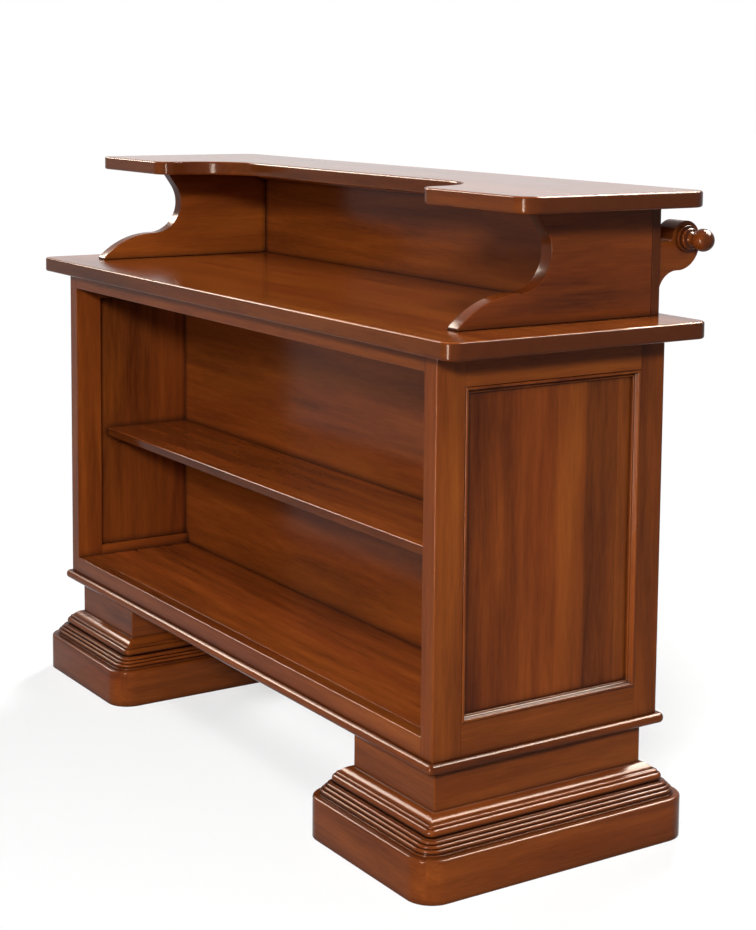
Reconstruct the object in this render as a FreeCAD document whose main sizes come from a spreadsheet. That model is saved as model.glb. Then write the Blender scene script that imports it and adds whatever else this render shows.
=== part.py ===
import FreeCAD, Part
import math
import os
import re

import Sketcher

# Classic bar counter: two moulded plinths carry an open shelf carcass with frame-and-panel sides, a counter
# top, and a raised bar top on scroll brackets, with a turned hand rail on the customer's side.
# Millimetres. X runs along the counter, -Y is the barman's side with the open shelves, +Y the customer's side.
# The origin is on the floor, in the middle of the whole object.

Vector = FreeCAD.Vector
doc = FreeCAD.newDocument("bar_counter")
sheet = doc.addObject("Spreadsheet::Sheet", "Sizes")

SIZES = [
    # plinths: block, core, reeded and beaded mouldings, neck
    ("block_height", 75, "floor to the top of the plinth block"),
    ("block_over", 65, "block beyond the neck, all round"),
    ("core_corner", 1, "eased vertical corner of the core, from which the mouldings' corners grow"),
    ("block_edge", 4, "bevelled upper edge of the block"),
    ("neck_edge", 2, "bevelled upright edges of the neck"),
    ("core_over", 18, "core beyond the neck, all round"),
    ("reed_height", 22.5, "height of the lower moulding with its three reeds"),
    ("reed_over", 53, "foot of the lower moulding beyond the neck"),
    ("reed_foot", 3, "upright foot of the lower moulding"),
    ("reed_radius", 3.7, "section radius of a reed"),
    ("low_reed_over", 47.5, "centre of the lowest reed beyond the neck"),
    ("low_reed_rise", 7, "the same centre above the block"),
    ("middle_reed_over", 42, "centre of the middle reed beyond the neck"),
    ("middle_reed_rise", 12.3, "the same centre above the block"),
    ("high_reed_over", 36.5, "centre of the highest reed beyond the neck"),
    ("high_reed_rise", 17.8, "the same centre above the block"),
    ("bead_height", 20, "height of the upper moulding with its two beads"),
    ("large_bead_radius", 7.5, "section radius of the lower bead"),
    ("large_bead_over", 24, "centre of the lower bead beyond the neck"),
    ("large_bead_rise", 6.8, "the same centre above the lower moulding"),
    ("small_bead_radius", 4, "section radius of the upper bead"),
    ("small_bead_over", 21, "centre of the upper bead beyond the neck"),
    ("small_bead_rise", 14.7, "the same centre above the lower moulding"),
    ("slope_rise", 10.5, "rise of the round top of the core"),
    ("neck_inset", 19, "neck behind the faces of the carcass"),
    ("neck_width", 246, "neck along the counter"),
    ("neck_height", 73, "core to base board"),
    ("neck_wall", 22, "boards of the neck"),
    # base board
    ("base_thick", 18, "base board"),
    ("base_over", 12, "base board beyond the carcass"),
    ("base_corner", 10, "vertical corner of the base board"),
    ("base_nose", 8, "rounding of its upper and lower edges"),
    # carcass
    ("carcass_width", 1410, "outside of the side frames"),
    ("carcass_depth", 478, "front to back of the side frames"),
    ("carcass_height", 668, "base board to counter top"),
    ("side_thick", 34, "stiles and rails of the sides"),
    ("front_stile", 57, "width of the front stile"),
    ("rear_stile", 53, "width of the rear stile"),
    ("side_rail_high", 56, "width of the upper rail of a side"),
    ("side_rail_low", 56, "width of the lower rail of a side"),
    ("panel_thick", 10, "side panel"),
    ("panel_tongue", 8, "depth of a panel's edge in its groove"),
    ("panel_clear", 0.2, "clearance of a panel or tenon in its groove"),
    ("strip_width", 12, "moulded strip round a panel"),
    ("strip_proud", 2, "strip beyond the face of its frame"),
    ("sill_height", 35, "front rail under the lower compartment"),
    ("sill_thick", 26, "the same rail, front to back"),
    ("floor_thick", 18, "floor of the lower compartment"),
    ("bearer_width", 40, "bearers under the floor"),
    ("apron_height", 32, "rail under the counter top"),
    ("apron_thick", 22, "the same rail, front to back"),
    ("tenon_long", 20, "tenons of the rails and of the frame"),
    ("tenon_play", 0.2, "clearance round a tenon and at its end"),
    ("cleat_size", 14, "cleat under a shelf end"),
    ("cleat_back", 20, "front of the shelf to the front of its cleats"),
    ("bearer_apart", 450, "between the bearers under the floor"),
    ("batten_size", 24, "batten that holds the counter top to a side"),
    # loose shelf
    ("shelf_rise", 266, "floor of the lower compartment to the underside of the shelf"),
    ("shelf_thick", 18, "shelf"),
    ("shelf_setback", 76, "front of the carcass to the front of the shelf"),
    ("shelf_clear", 2, "play at each end of the shelf"),
    ("shelf_back_clear", 1, "play behind the shelf"),
    # wall between the shelves and the customer's knee space
    ("wall_setback", 272, "front of the carcass to the shelf side of the wall"),
    ("board_thick", 8, "plain board that closes the shelves"),
    ("frame_thick", 20, "frame on the customer's side of that board"),
    ("frame_stile", 60, "stiles and muntins of the frame"),
    ("frame_rail_high", 60, "upper rail of the frame"),
    ("frame_rail_low", 70, "lower rail of the frame"),
    ("field_thick", 8, "panels of the frame"),
    ("field_clear", 0.3, "play round each panel of the frame"),
    # counter top
    ("counter_thick", 30, "counter top"),
    ("counter_over_end", 77, "counter top beyond the sides"),
    ("counter_over_face", 32, "counter top beyond the front and the back of the carcass"),
    ("counter_corner", 25, "vertical corner of the counter top"),
    ("top_edge", 2.5, "bevelled edges of the counter top and the bar top"),
    # upper part
    ("riser_inset", 24, "outside of a side to the end of the upright board"),
    ("riser_height", 193, "counter top to bar top"),
    ("riser_thick", 18, "upright board"),
    ("riser_behind", 5, "back of the carcass to the back of the upright board"),
    ("scroll_thick", 30, "scroll bracket"),
    ("scroll_length", 426, "back of the upright board to the toe of the scroll"),
    ("scroll_waist", 55, "counter top to the waist of the scroll"),
    ("toe_height", 4, "upright end of the scroll's toe"),
    ("hook_radius", 66, "concave hook above the waist"),
    ("hook_forward", 303, "back of the upright board to the centre of the hook"),
    ("hook_angle", 35, "how far the hook turns past upright, degrees"),
    ("bar_over_side", 80, "bar top beyond the sides of the carcass"),
    ("bar_thick", 28, "bar top"),
    ("bar_behind", 19, "back of the upright board to the back of the bar top"),
    ("bar_narrow", 230, "width of the bar top between its ears"),
    ("bar_wide", 392, "width of the bar top at its ears"),
    ("ear_length", 306, "ear along the counter"),
    ("ear_nose", 37, "convex corner of an ear"),
    ("ear_cove", 130, "concave sweep from an ear to the middle part"),
    ("bar_corner", 36, "outer corners of the bar top"),
    ("bar_batten", 22, "batten in the corner under the bar top"),
    # hand rail
    ("rail_out", 61, "back of the upright board to the axis of the rail"),
    ("rail_rise", 131, "counter top to the axis of the rail"),
    ("rail_radius", 17, "hand rail"),
    ("rail_socket", 15, "rail let into each bracket"),
    ("rail_fit", 0.05, "clearance of the rail in its sockets, on the radius"),
    ("rail_seat", 0.3, "end clearance of the rail in its sockets"),
    ("arm_thick", 42, "rail bracket along the counter"),
    ("arm_inset", 3, "end of the upright board to the outer face of a rail bracket"),
    ("arm_drop", 3, "axis of the rail to the flat top of its bracket"),
    ("head_radius", 31, "round head of a rail bracket"),
    ("belly_radius", 49, "flatter curve under the head"),
    ("belly_turn", 20, "where the two curves meet, above the level of the rail axis, degrees"),
    ("foot_flat", 3, "level part between that curve and the concave foot of the bracket"),
    ("throat_radius", 8, "concave curve between the bracket's top and its head"),
    ("ball_radius", 20, "ball of an end knob"),
    ("ball_out", 43, "bracket's face to the centre of the ball"),
    ("collar_radius", 23, "turned collar of an end knob"),
    ("collar_deep", 7, "the same collar along the axis"),
    ("ring_radius", 19, "bead between the collar and the neck of a knob"),
    ("ring_deep", 8, "the same bead along the axis"),
    ("neck_radius", 10, "neck of a knob"),
    ("spigot_radius", 6, "spigot of a knob in its bracket"),
    ("spigot_long", 14, "the same spigot along the axis"),
    # tongues and tenons of the upper part
    ("tongue_thick", 8, "tongue of the upright board and tenons of the scrolls"),
    ("tongue_deep", 8, "the same, up and down"),
    ("tongue_inset", 20, "scroll to the end of the tongue"),
    ("tenon_front", 354, "back of the upright board to the front of a scroll's lower tenon"),
    ("tenon_middle", 210, "back of the upright board to the front of a scroll's upper tenon"),
    ("tenon_back", 64, "back of the upright board to the back of a scroll's tenons"),
]

for row, (alias, amount, note) in enumerate(SIZES, start=1):
    sheet.set("A%d" % row, alias)
    sheet.set("B%d" % row, str(amount))
    sheet.set("C%d" % row, note)
    sheet.setAlias("B%d" % row, alias)
doc.recompute()
ALIASES = {alias for alias, amount, note in SIZES}


def tied(text):
    """Turn an expression in the sheet's names into one that FreeCAD can evaluate."""
    def sized(word):
        return "Sizes." + word.group(0) if word.group(0) in ALIASES else word.group(0)

    return re.sub(r"[a-z_]+", sized, text)


def worth(text):
    """Present value of an expression in the sheet's names."""
    return float(sheet.evalExpression(tied(text)))


# Levels above the floor and distances from the middle, each built on the one before.
CORE_SHOULDER = "(block_height + reed_height + bead_height)"
CORE_TOP = "(%s + slope_rise)" % CORE_SHOULDER
NECK_TOP = "(%s + neck_height)" % CORE_TOP
CARCASS_LOW = "(%s + base_thick)" % NECK_TOP
FLOOR_TOP = "(%s + sill_height)" % CARCASS_LOW
SHELF_LOW = "(%s + shelf_rise)" % FLOOR_TOP
CARCASS_TOP = "(%s + carcass_height)" % CARCASS_LOW
COUNTER_TOP = "(%s + counter_thick)" % CARCASS_TOP
BAR_LOW = "(%s + riser_height)" % COUNTER_TOP
SIDE_IN = "(carcass_width / 2 - side_thick)"
FRONT = "(-carcass_depth / 2)"
BACK = "(carcass_depth / 2)"
WALL = "(%s + wall_setback)" % FRONT
WALL_FRAME = "(%s + board_thick)" % WALL
RECESS = "((side_thick - panel_thick) / 2)"
RISER_BACK = "(%s + riser_behind)" % BACK
RISER_FRONT = "(%s - riser_thick)" % RISER_BACK
RAIL_Y = "(%s + rail_out)" % RISER_BACK
RAIL_Z = "(%s + rail_rise)" % COUNTER_TOP
NECK_DEPTH = "(carcass_depth - 2 * neck_inset)"
NECK_X = "(carcass_width / 2 - neck_inset - neck_width / 2)"
# The carcass stands a little forward of the origin, because the rail brackets reach further back than the
# plinths reach forward.
BELLY_IN = "((belly_radius - head_radius) * cos(belly_turn))"
MIDDLE = "((%s / 2 + block_over - %s - belly_radius + %s) / 2)" % (NECK_DEPTH, RAIL_Y, BELLY_IN)

RISER_END = "(carcass_width / 2 - riser_inset)"
SCROLL_X = "(%s - scroll_thick / 2)" % RISER_END
RISER_Y = "(%s - riser_thick / 2)" % RISER_BACK
LOWER_TENON = "(%s - tenon_front)" % RISER_BACK
UPPER_TENON = "(%s - tenon_middle)" % RISER_BACK
# Rails between the front stiles: name, thickness, underside, top.
RAIL_ENDS = [("sill_rail", "sill_thick", CARCASS_LOW, FLOOR_TOP),
             ("apron_rail", "apron_thick", CARCASS_TOP + " - apron_height", CARCASS_TOP)]

PARTS = []


def keep(piece, label):
    """Make a finished object one of the exported pieces."""
    piece.Label = label
    PARTS.append(piece)
    return piece


def place(piece, x="0", y="0", z="0"):
    """Tie a piece's position to the sheet; y counts from the middle of the carcass."""
    piece.setExpression("Placement.Base.x", tied(x))
    piece.setExpression("Placement.Base.y", tied("%s + %s" % (MIDDLE, y)))
    piece.setExpression("Placement.Base.z", tied(z))


def plain_box(label, x, y, z):
    """A plain board between three pairs of expressions."""
    board = doc.addObject("Part::Box", label)
    for size, (low, high) in zip(("Length", "Width", "Height"), (x, y, z)):
        board.setExpression(size, tied("%s - (%s)" % (high, low)))
    place(board, x[0], y[0], z[0])
    return board


def box(label, x, y, z):
    """A plain board that is a piece of its own."""
    return keep(plain_box(label, x, y, z), label)


def group(label, members):
    """Like pieces that share one node as separate solids."""
    together = doc.addObject("Part::Compound", label)
    together.Links = members
    return keep(together, label)


def new_body(label, x="0"):
    """An empty PartDesign body in the carcass's own plane."""
    body = doc.addObject("PartDesign::Body", label)
    place(body, x)
    return keep(body, label)


def plane_of(body, role):
    return [feature for feature in body.Origin.OriginFeatures if feature.Role == role][0]


def arc_between(start, end, radius, turns_left):
    """The shorter arc from start to end."""
    chord = end - start
    half = chord.Length / 2
    rise = math.sqrt(max(radius * radius - half * half, 0.0))
    left = Vector(-chord.y, chord.x, 0).normalize()
    centre = (start + end) * 0.5 + left * (rise if turns_left else -rise)
    first, last = (start, end) if turns_left else (end, start)
    angles = [math.atan2(point.y - centre.y, point.x - centre.x) for point in (first, last)]
    if angles[1] < angles[0]:
        angles[1] += 2 * math.pi
    return Part.ArcOfCircle(Part.Circle(centre, Vector(0, 0, 1), radius), angles[0], angles[1])


def draw(sketch, outline):
    """Draw one closed outline and tie every corner and radius to the sheet.

    A corner is (x, y), or (x, y, radius, "left" or "right") where an arc that turns that way leads to the next.
    An outline ("circle", x, y, radius) is a whole circle.
    """
    if outline[0] == "circle":
        centre = Vector(worth(outline[1]), worth(outline[2]), 0)
        number = sketch.addGeometry(Part.Circle(centre, Vector(0, 0, 1), worth(outline[3])), False)
        for kind, text in (("DistanceX", outline[1]), ("DistanceY", outline[2])):
            tie = sketch.addConstraint(Sketcher.Constraint(kind, -1, 1, number, 3, worth(text)))
            sketch.setExpression("Constraints[%d]" % tie, tied(text))
        tie = sketch.addConstraint(Sketcher.Constraint("Radius", number, worth(outline[3])))
        sketch.setExpression("Constraints[%d]" % tie, tied(outline[3]))
        return
    corners = [Vector(worth(corner[0]), worth(corner[1]), 0) for corner in outline]
    first = sketch.GeometryCount
    ends = []
    for index, corner in enumerate(outline):
        start, end = corners[index], corners[(index + 1) % len(corners)]
        if len(corner) == 2:
            sketch.addGeometry(Part.LineSegment(start, end), False)
            ends.append((1, 2))
            continue
        turns_left = corner[3] == "left"
        sketch.addGeometry(arc_between(start, end, worth(corner[2]), turns_left), False)
        ends.append((1, 2) if turns_left else (2, 1))
    for index, corner in enumerate(outline):
        edge = first + index
        following = first + (index + 1) % len(outline)
        sketch.addConstraint(Sketcher.Constraint("Coincident", edge, ends[index][1], following,
                                                 ends[(index + 1) % len(outline)][0]))
        for kind, text in (("DistanceX", corner[0]), ("DistanceY", corner[1])):
            number = sketch.addConstraint(Sketcher.Constraint(kind, -1, 1, edge, ends[index][0], worth(text)))
            sketch.setExpression("Constraints[%d]" % number, tied(text))
        if len(corner) > 2:
            number = sketch.addConstraint(Sketcher.Constraint("Radius", edge, worth(corner[2])))
            sketch.setExpression("Constraints[%d]" % number, tied(corner[2]))


def new_sketch(body, name, role, outlines, offset="0"):
    """A sketch on one of the body's own planes, moved along that plane's normal."""
    sketch = body.newObject("Sketcher::SketchObject", name)
    sketch.AttachmentSupport = [(plane_of(body, role), "")]
    sketch.MapMode = "FlatFace"
    sketch.setExpression("AttachmentOffset.Base.z", tied(offset))
    for outline in outlines:
        draw(sketch, outline)
    return sketch


def pad(body, name, role, outlines, length, offset="0"):
    """Pad the outlines along their plane's normal."""
    sketch = new_sketch(body, name + "_sketch", role, outlines, offset)
    result = body.newObject("PartDesign::Pad", name)
    result.Profile = sketch
    result.setExpression("Length", tied(length))
    doc.recompute()
    return result


def cut(body, name, role, outlines, depth, offset="0", away=False):
    """Cut the outlines out of a body: against their plane's normal, or along it with away."""
    before = body.Shape.Volume
    sketch = new_sketch(body, name + "_sketch", role, outlines, offset)
    result = body.newObject("PartDesign::Pocket", name)
    result.Profile = sketch
    result.Reversed = away
    result.setExpression("Length", tied(depth))
    doc.recompute()
    if body.Shape.Volume > before - 1:
        raise RuntimeError("nothing removed by " + name)
    return result


def rectangle(low_x, high_x, low_y, high_y):
    return [(low_x, low_y), (high_x, low_y), (high_x, high_y), (low_x, high_y)]


def rounded(half_x, half_y, radius):
    """A rectangle about the origin with round corners, as an outline."""
    inner_x = "(%s - %s)" % (half_x, radius)
    inner_y = "(%s - %s)" % (half_y, radius)
    return [
        ("-" + inner_x, "-" + half_y), (inner_x, "-" + half_y, radius, "left"),
        (half_x, "-" + inner_y), (half_x, inner_y, radius, "left"),
        (inner_x, half_y), ("-" + inner_x, half_y, radius, "left"),
        ("-" + half_x, inner_y), ("-" + half_x, "-" + inner_y, radius, "left"),
    ]


def edges_where(feature, test):
    """Names of the feature's edges whose middle and direction pass a test."""
    names = []
    for number, edge in enumerate(feature.Shape.Edges, start=1):
        middle = edge.valueAt((edge.FirstParameter + edge.LastParameter) / 2)
        along = edge.tangentAt(edge.FirstParameter)
        if test(middle, along):
            names.append("Edge%d" % number)
    return names


def ease(body, feature, kind, size, test):
    """Fillet or chamfer the chosen edges of a feature."""
    eased = body.newObject("PartDesign::" + kind, body.Label + "_" + kind.lower())
    eased.Base = (feature, edges_where(feature, test))
    eased.setExpression("Radius" if kind == "Fillet" else "Size", tied(size))
    doc.recompute()
    return eased


def at_level(*levels):
    """Test for level edges at one of some heights."""
    heights = [worth(level) for level in levels]

    def test(middle, along):
        return abs(along.z) < 0.01 and any(abs(middle.z - height) < 0.01 for height in heights)

    return test


def upright(middle, along):
    """Test for upright edges."""
    return abs(along.z) > 0.99


def tenon(thick, low, high, play):
    """Section of a rail's tenon, half as thick as the rail, or of its mortise with play all round."""
    return rectangle("%s + %s / 4 - %s" % (FRONT, thick, play), "%s + %s * 3 / 4 + %s" % (FRONT, thick, play),
                     "%s + 6 - %s" % (low, play), "%s - 6 + %s" % (high, play))


def tongues(front, play):
    """Tongue of the upright board and tenons of the two scrolls from above, or their grooves with play."""
    half = "(tongue_thick / 2 + %s)" % play
    end = "(%s - scroll_thick - tongue_inset + %s)" % (RISER_END, play)
    outlines = [rectangle("-" + end, end, "%s - %s" % (RISER_Y, half), "%s + %s" % (RISER_Y, half))]
    for sign in ("-", ""):
        outlines.append(rectangle("%s - %s" % (sign + SCROLL_X, half), "%s + %s" % (sign + SCROLL_X, half),
                                  "%s - %s" % (front, play), "%s - tenon_back + %s" % (RISER_BACK, play)))
    return outlines


# ---------------------------------------------------------------- plinths

def offset_path(over):
    """Round-cornered loop a distance beyond the neck; all such loops share their corners' centres."""
    half_x = "(neck_width / 2 + %s)" % over
    half_y = "(%s / 2 + %s)" % (NECK_DEPTH, over)
    radius = "(%s - core_over + core_corner)" % over
    return half_x, half_y, radius


def ring(label, x, section, base):
    """A moulding swept round the core; its section's x counts from the neck's face, its y from the base."""
    body = new_body(label, x)
    over = "((core_over + block_over) / 2)"
    half_x, half_y, radius = offset_path(over)
    corners = rounded(half_x, half_y, radius)
    # The loop starts in the middle of one side, where the section stands square to it.
    loop = corners[3:] + corners[:3]
    path = body.newObject("Sketcher::SketchObject", label + "_path")
    path.AttachmentSupport = [(plane_of(body, "XY_Plane"), "")]
    path.MapMode = "FlatFace"
    path.setExpression("AttachmentOffset.Base.z", tied(base))
    draw(path, [(half_x, "0")] + loop)
    moved = [("neck_width / 2 + " + point[0], "%s + %s" % (base, point[1])) for point in section]
    profile = new_sketch(body, label + "_section", "XZ_Plane", [moved])
    pipe = body.newObject("PartDesign::AdditivePipe", label + "_sweep")
    pipe.Profile = profile
    doc.recompute()
    pipe.Spine = (path, ["Edge%d" % (number + 1) for number in range(path.GeometryCount)])
    doc.recompute()
    return body


def bow(centre, radius, angles):
    """Points on a round of the moulding's section, each a flat facet from the next."""
    return [("%s_over + %s * cos(%d)" % (centre, radius, angle),
             "%s_rise + %s * sin(%d)" % (centre, radius, angle)) for angle in angles]


REEDS = [("core_over", "0"), ("reed_over", "0"), ("reed_over", "reed_foot")]
REEDS += bow("low_reed", "reed_radius", (-60, -5, 55))
REEDS += bow("middle_reed", "reed_radius", (-45, 5, 60))
REEDS += bow("high_reed", "reed_radius", (-40, 10, 60))
REEDS += [("high_reed_over - reed_radius", "reed_height"), ("core_over", "reed_height")]
BEADS = [("core_over", "0"), ("large_bead_over", "0")]
BEADS += bow("large_bead", "large_bead_radius", (-60, -5, 50))
BEADS += bow("small_bead", "small_bead_radius", (-40, 10, 60))
BEADS += [("small_bead_over", "bead_height"), ("core_over", "bead_height")]

for side, sign in (("left", "-"), ("right", "")):
    centre = sign + NECK_X
    block = new_body("plinth_block_" + side, centre)
    slab = pad(block, "slab_" + side, "XY_Plane", [rounded(*offset_path("block_over"))], "block_height")
    ease(block, slab, "Chamfer", "block_edge", at_level("block_height"))
    core = new_body("plinth_core_" + side, centre)
    wide_x, wide_y = "(neck_width / 2 + core_over)", "(%s / 2 + core_over)" % NECK_DEPTH
    narrow_x, narrow_y = "(neck_width / 2)", "(%s / 2)" % NECK_DEPTH
    wide = rectangle("-" + wide_x, wide_x, "-" + wide_y, wide_y)
    narrow = rectangle("-" + narrow_x, narrow_x, "-" + narrow_y, narrow_y)
    post = pad(core, "core_body_" + side, "XY_Plane", [wide], "reed_height + bead_height", "block_height")
    ease(core, post, "Chamfer", "core_corner", upright)
    # The top of the core rounds up to the foot of the neck in three flat steps.
    steps = []
    for number, (over, rise) in enumerate((("core_over", "0"), ("core_over * 0.7", "slope_rise * 0.45"),
                                           ("core_over * 0.35", "slope_rise * 0.8"), ("0", "slope_rise"))):
        half_x, half_y = "(neck_width / 2 + %s)" % over, "(%s / 2 + %s)" % (NECK_DEPTH, over)
        steps.append(new_sketch(core, "core_step_%d_%s" % (number, side), "XY_Plane",
                                [rectangle("-" + half_x, half_x, "-" + half_y, half_y)],
                                "%s + %s" % (CORE_SHOULDER, rise)))
    slope = core.newObject("PartDesign::AdditiveLoft", "slope_" + side)
    slope.Profile = steps[0]
    slope.Sections = steps[1:]
    slope.Ruled = True
    doc.recompute()
    ring("plinth_reeds_" + side, centre, REEDS, "block_height")
    ring("plinth_beads_" + side, centre, BEADS, "(block_height + reed_height)")
    neck = new_body("neck_" + side, centre)
    hollow = rectangle("neck_wall - " + narrow_x, narrow_x + " - neck_wall",
                       "neck_wall - " + narrow_y, narrow_y + " - neck_wall")
    walls = pad(neck, "neck_walls_" + side, "XY_Plane", [narrow, hollow], "neck_height", CORE_TOP)
    outer = worth(narrow_x) - 1
    ease(neck, walls, "Chamfer", "neck_edge",
         lambda middle, along: upright(middle, along) and abs(middle.x) > outer)

# ---------------------------------------------------------------- base board and floor

base_x = "(carcass_width / 2 + base_over)"
base_y = "(carcass_depth / 2 + base_over)"
base = new_body("base_board")
base_slab = pad(base, "base_slab", "XY_Plane", [rounded(base_x, base_y, "base_corner")], "base_thick", NECK_TOP)
ease(base, base_slab, "Fillet", "base_nose", at_level(NECK_TOP, CARCASS_LOW))

# ---------------------------------------------------------------- sides: frames with panels in grooves

OPEN_FRONT = "(%s + front_stile)" % FRONT
OPEN_BACK = "(%s - rear_stile)" % BACK
OPEN_LOW = "(%s + side_rail_low)" % CARCASS_LOW
OPEN_HIGH = "(%s - side_rail_high)" % CARCASS_TOP
PANEL_IN = "(%s + %s)" % (SIDE_IN, RECESS)
PANEL_OUT = "(%s + panel_thick)" % PANEL_IN
GROOVE_IN = "(%s - panel_clear)" % PANEL_IN
GROOVE_OUT = "(%s + panel_clear)" % PANEL_OUT
GROOVE_DEEP = "(panel_tongue + panel_clear)"
SIDE_OUT = "(carcass_width / 2)"


def mirrored(outline, sign):
    """Negate the x of an outline for the left side."""
    if sign == "":
        return outline
    return [("-(%s)" % point[0], point[1]) for point in outline]


def grooved(edge, groove_to, far):
    """Section of a frame member: x across the side, y from the grooved edge to the far edge."""
    return [
        (SIDE_IN, edge), (GROOVE_IN, edge), (GROOVE_IN, groove_to), (GROOVE_OUT, groove_to),
        (GROOVE_OUT, edge), (SIDE_OUT, edge), (SIDE_OUT, far), (SIDE_IN, far),
    ]


def side_rail(label, sign, edge, inward, far):
    """A rail between the stiles, with a groove for the panel and a tenon at each end in the stiles' grooves."""
    body = new_body(label)
    groove_to = "(%s %s %s)" % (edge, inward, GROOVE_DEEP)
    section = mirrored(grooved(edge, groove_to, far), sign)
    span = "(%s - %s)" % (OPEN_BACK, OPEN_FRONT)
    # The section lies in the XZ plane, whose normal is -Y.
    pad(body, label + "_rail", "XZ_Plane", [section], span, "-" + OPEN_BACK)
    tenon = mirrored(rectangle(PANEL_IN, PANEL_OUT, groove_to, far), sign)
    pad(body, label + "_tenons", "XZ_Plane", [tenon], span + " + 2 * panel_tongue",
        "-(%s + panel_tongue)" % OPEN_BACK)
    return body


def strip_section(deep):
    """Section of a moulded strip: x away from the frame, y up from the panel to just past the frame's face."""
    return [
        ("0", "0"), ("strip_width", "0"), ("strip_width", deep + " * 0.35"),
        ("strip_width * 0.78", deep + " * 0.45"), ("strip_width * 0.62", deep + " * 0.6"),
        ("strip_width * 0.54", deep + " * 0.85"), ("strip_width * 0.38", deep + " + strip_proud * 0.6"),
        ("strip_width * 0.15", deep + " + strip_proud"), ("0", deep + " + strip_proud"),
    ]


def strip_frame(label, role, face, section, across, upward):
    """A mitred strip swept round a rectangular opening; the section lies half way up the opening."""
    body = doc.addObject("PartDesign::Body", label)
    path = new_sketch(body, label + "_path", role, [rectangle(*across, *upward)], face)
    profile = new_sketch(body, label + "_section", "XY_Plane", [section], "((%s + %s) / 2)" % upward)
    pipe = body.newObject("PartDesign::AdditivePipe", label + "_sweep")
    pipe.Profile = profile
    pipe.Transition = "Right corner"
    doc.recompute()
    pipe.Spine = (path, ["Edge%d" % (number + 1) for number in range(path.GeometryCount)])
    doc.recompute()
    return body


for side, sign in (("left", "-"), ("right", "")):
    for name, edge, far, groove_to in (
        ("front_stile", OPEN_FRONT, FRONT, "(%s - %s)" % (OPEN_FRONT, GROOVE_DEEP)),
        ("rear_stile", OPEN_BACK, BACK, "(%s + %s)" % (OPEN_BACK, GROOVE_DEEP)),
    ):
        stile = new_body("%s_%s" % (name, side))
        section = mirrored(grooved(edge, groove_to, far), sign)
        pad(stile, "%s_post_%s" % (name, side), "XY_Plane", [section], "carcass_height", CARCASS_LOW)
        if name == "front_stile":
            for rail, thick, low, high in RAIL_ENDS:
                cut(stile, "%s_mortise_%s" % (rail, side), "YZ_Plane", [tenon(thick, low, high, "tenon_play")],
                    "tenon_long + tenon_play", sign + SIDE_IN, away=(sign == ""))
    side_rail("side_rail_low_" + side, sign, OPEN_LOW, "-", CARCASS_LOW)
    side_rail("side_rail_high_" + side, sign, OPEN_HIGH, "+", CARCASS_TOP)
    across = (PANEL_IN, PANEL_OUT) if sign == "" else ("-" + PANEL_OUT, "-" + PANEL_IN)
    box("side_panel_" + side, across, (OPEN_FRONT + " - panel_tongue", OPEN_BACK + " + panel_tongue"),
        (OPEN_LOW + " - panel_tongue", OPEN_HIGH + " + panel_tongue"))
    # Seen from above, the strip stands on the panel's outer face and runs along the front of its opening.
    turned = []
    for point in strip_section(RECESS):
        turned.append(("%s + %s" % (PANEL_OUT, point[1]), "%s + %s" % (OPEN_FRONT, point[0])))
    strip = strip_frame("panel_strip_" + side, "YZ_Plane", sign + PANEL_OUT, mirrored(turned, sign),
                        (OPEN_FRONT, OPEN_BACK), (OPEN_LOW, OPEN_HIGH))
    place(strip)
    keep(strip, "panel_strip_" + side)

# ---------------------------------------------------------------- rails that join the sides

for rail, thick, low, high in RAIL_ENDS:
    body = new_body(rail)
    pad(body, rail + "_board", "YZ_Plane", [rectangle(FRONT, "%s + %s" % (FRONT, thick), low, high)],
        "2 * " + SIDE_IN, "-" + SIDE_IN)
    pad(body, rail + "_tenons", "YZ_Plane", [tenon(thick, low, high, "0")], "2 * %s + 2 * tenon_long" % SIDE_IN,
        "-(%s + tenon_long)" % SIDE_IN)

box("floor_board", ("-" + SIDE_IN, SIDE_IN), (FRONT + " + sill_thick", WALL),
    (FLOOR_TOP + " - floor_thick", FLOOR_TOP))
bearers = []
for number in (-1, 0, 1):
    spot = "%d * bearer_apart" % number
    bearers.append(plain_box("bearer_%d" % (number + 2),
                             (spot + " - bearer_width / 2", spot + " + bearer_width / 2"),
                             (FRONT + " + sill_thick", WALL), (CARCASS_LOW, FLOOR_TOP + " - floor_thick")))
group("floor_bearers", bearers)

# ---------------------------------------------------------------- shelf, cleats and battens

shelf_end = "(%s - shelf_clear)" % PANEL_IN
box("shelf", ("-" + shelf_end, shelf_end), (FRONT + " + shelf_setback", WALL + " - shelf_back_clear"),
    (SHELF_LOW, SHELF_LOW + " + shelf_thick"))
for side, low, high in (("left", "-" + PANEL_IN, "cleat_size - " + PANEL_IN),
                        ("right", PANEL_IN + " - cleat_size", PANEL_IN)):
    box("shelf_cleat_" + side, (low, high), (FRONT + " + shelf_setback + cleat_back", WALL),
        (SHELF_LOW + " - cleat_size", SHELF_LOW))
for side, low, high in (("left", "-" + SIDE_IN, "batten_size - " + SIDE_IN),
                        ("right", SIDE_IN + " - batten_size", SIDE_IN)):
    box("counter_batten_" + side, (low, high), (FRONT + " + apron_thick", WALL),
        (CARCASS_TOP + " - batten_size", CARCASS_TOP))

# ---------------------------------------------------------------- wall with its frame on the customer's side

wall = new_body("wall_board")
pad(wall, "wall_sheet", "XZ_Plane", [rectangle("-" + SIDE_IN, SIDE_IN, CARCASS_LOW, CARCASS_TOP)],
    "board_thick", "-" + WALL_FRAME)
pad(wall, "wall_tongues", "XZ_Plane", [rectangle("-" + PANEL_IN, PANEL_IN, OPEN_LOW, OPEN_HIGH)], "board_thick",
    "-" + WALL_FRAME)

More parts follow.
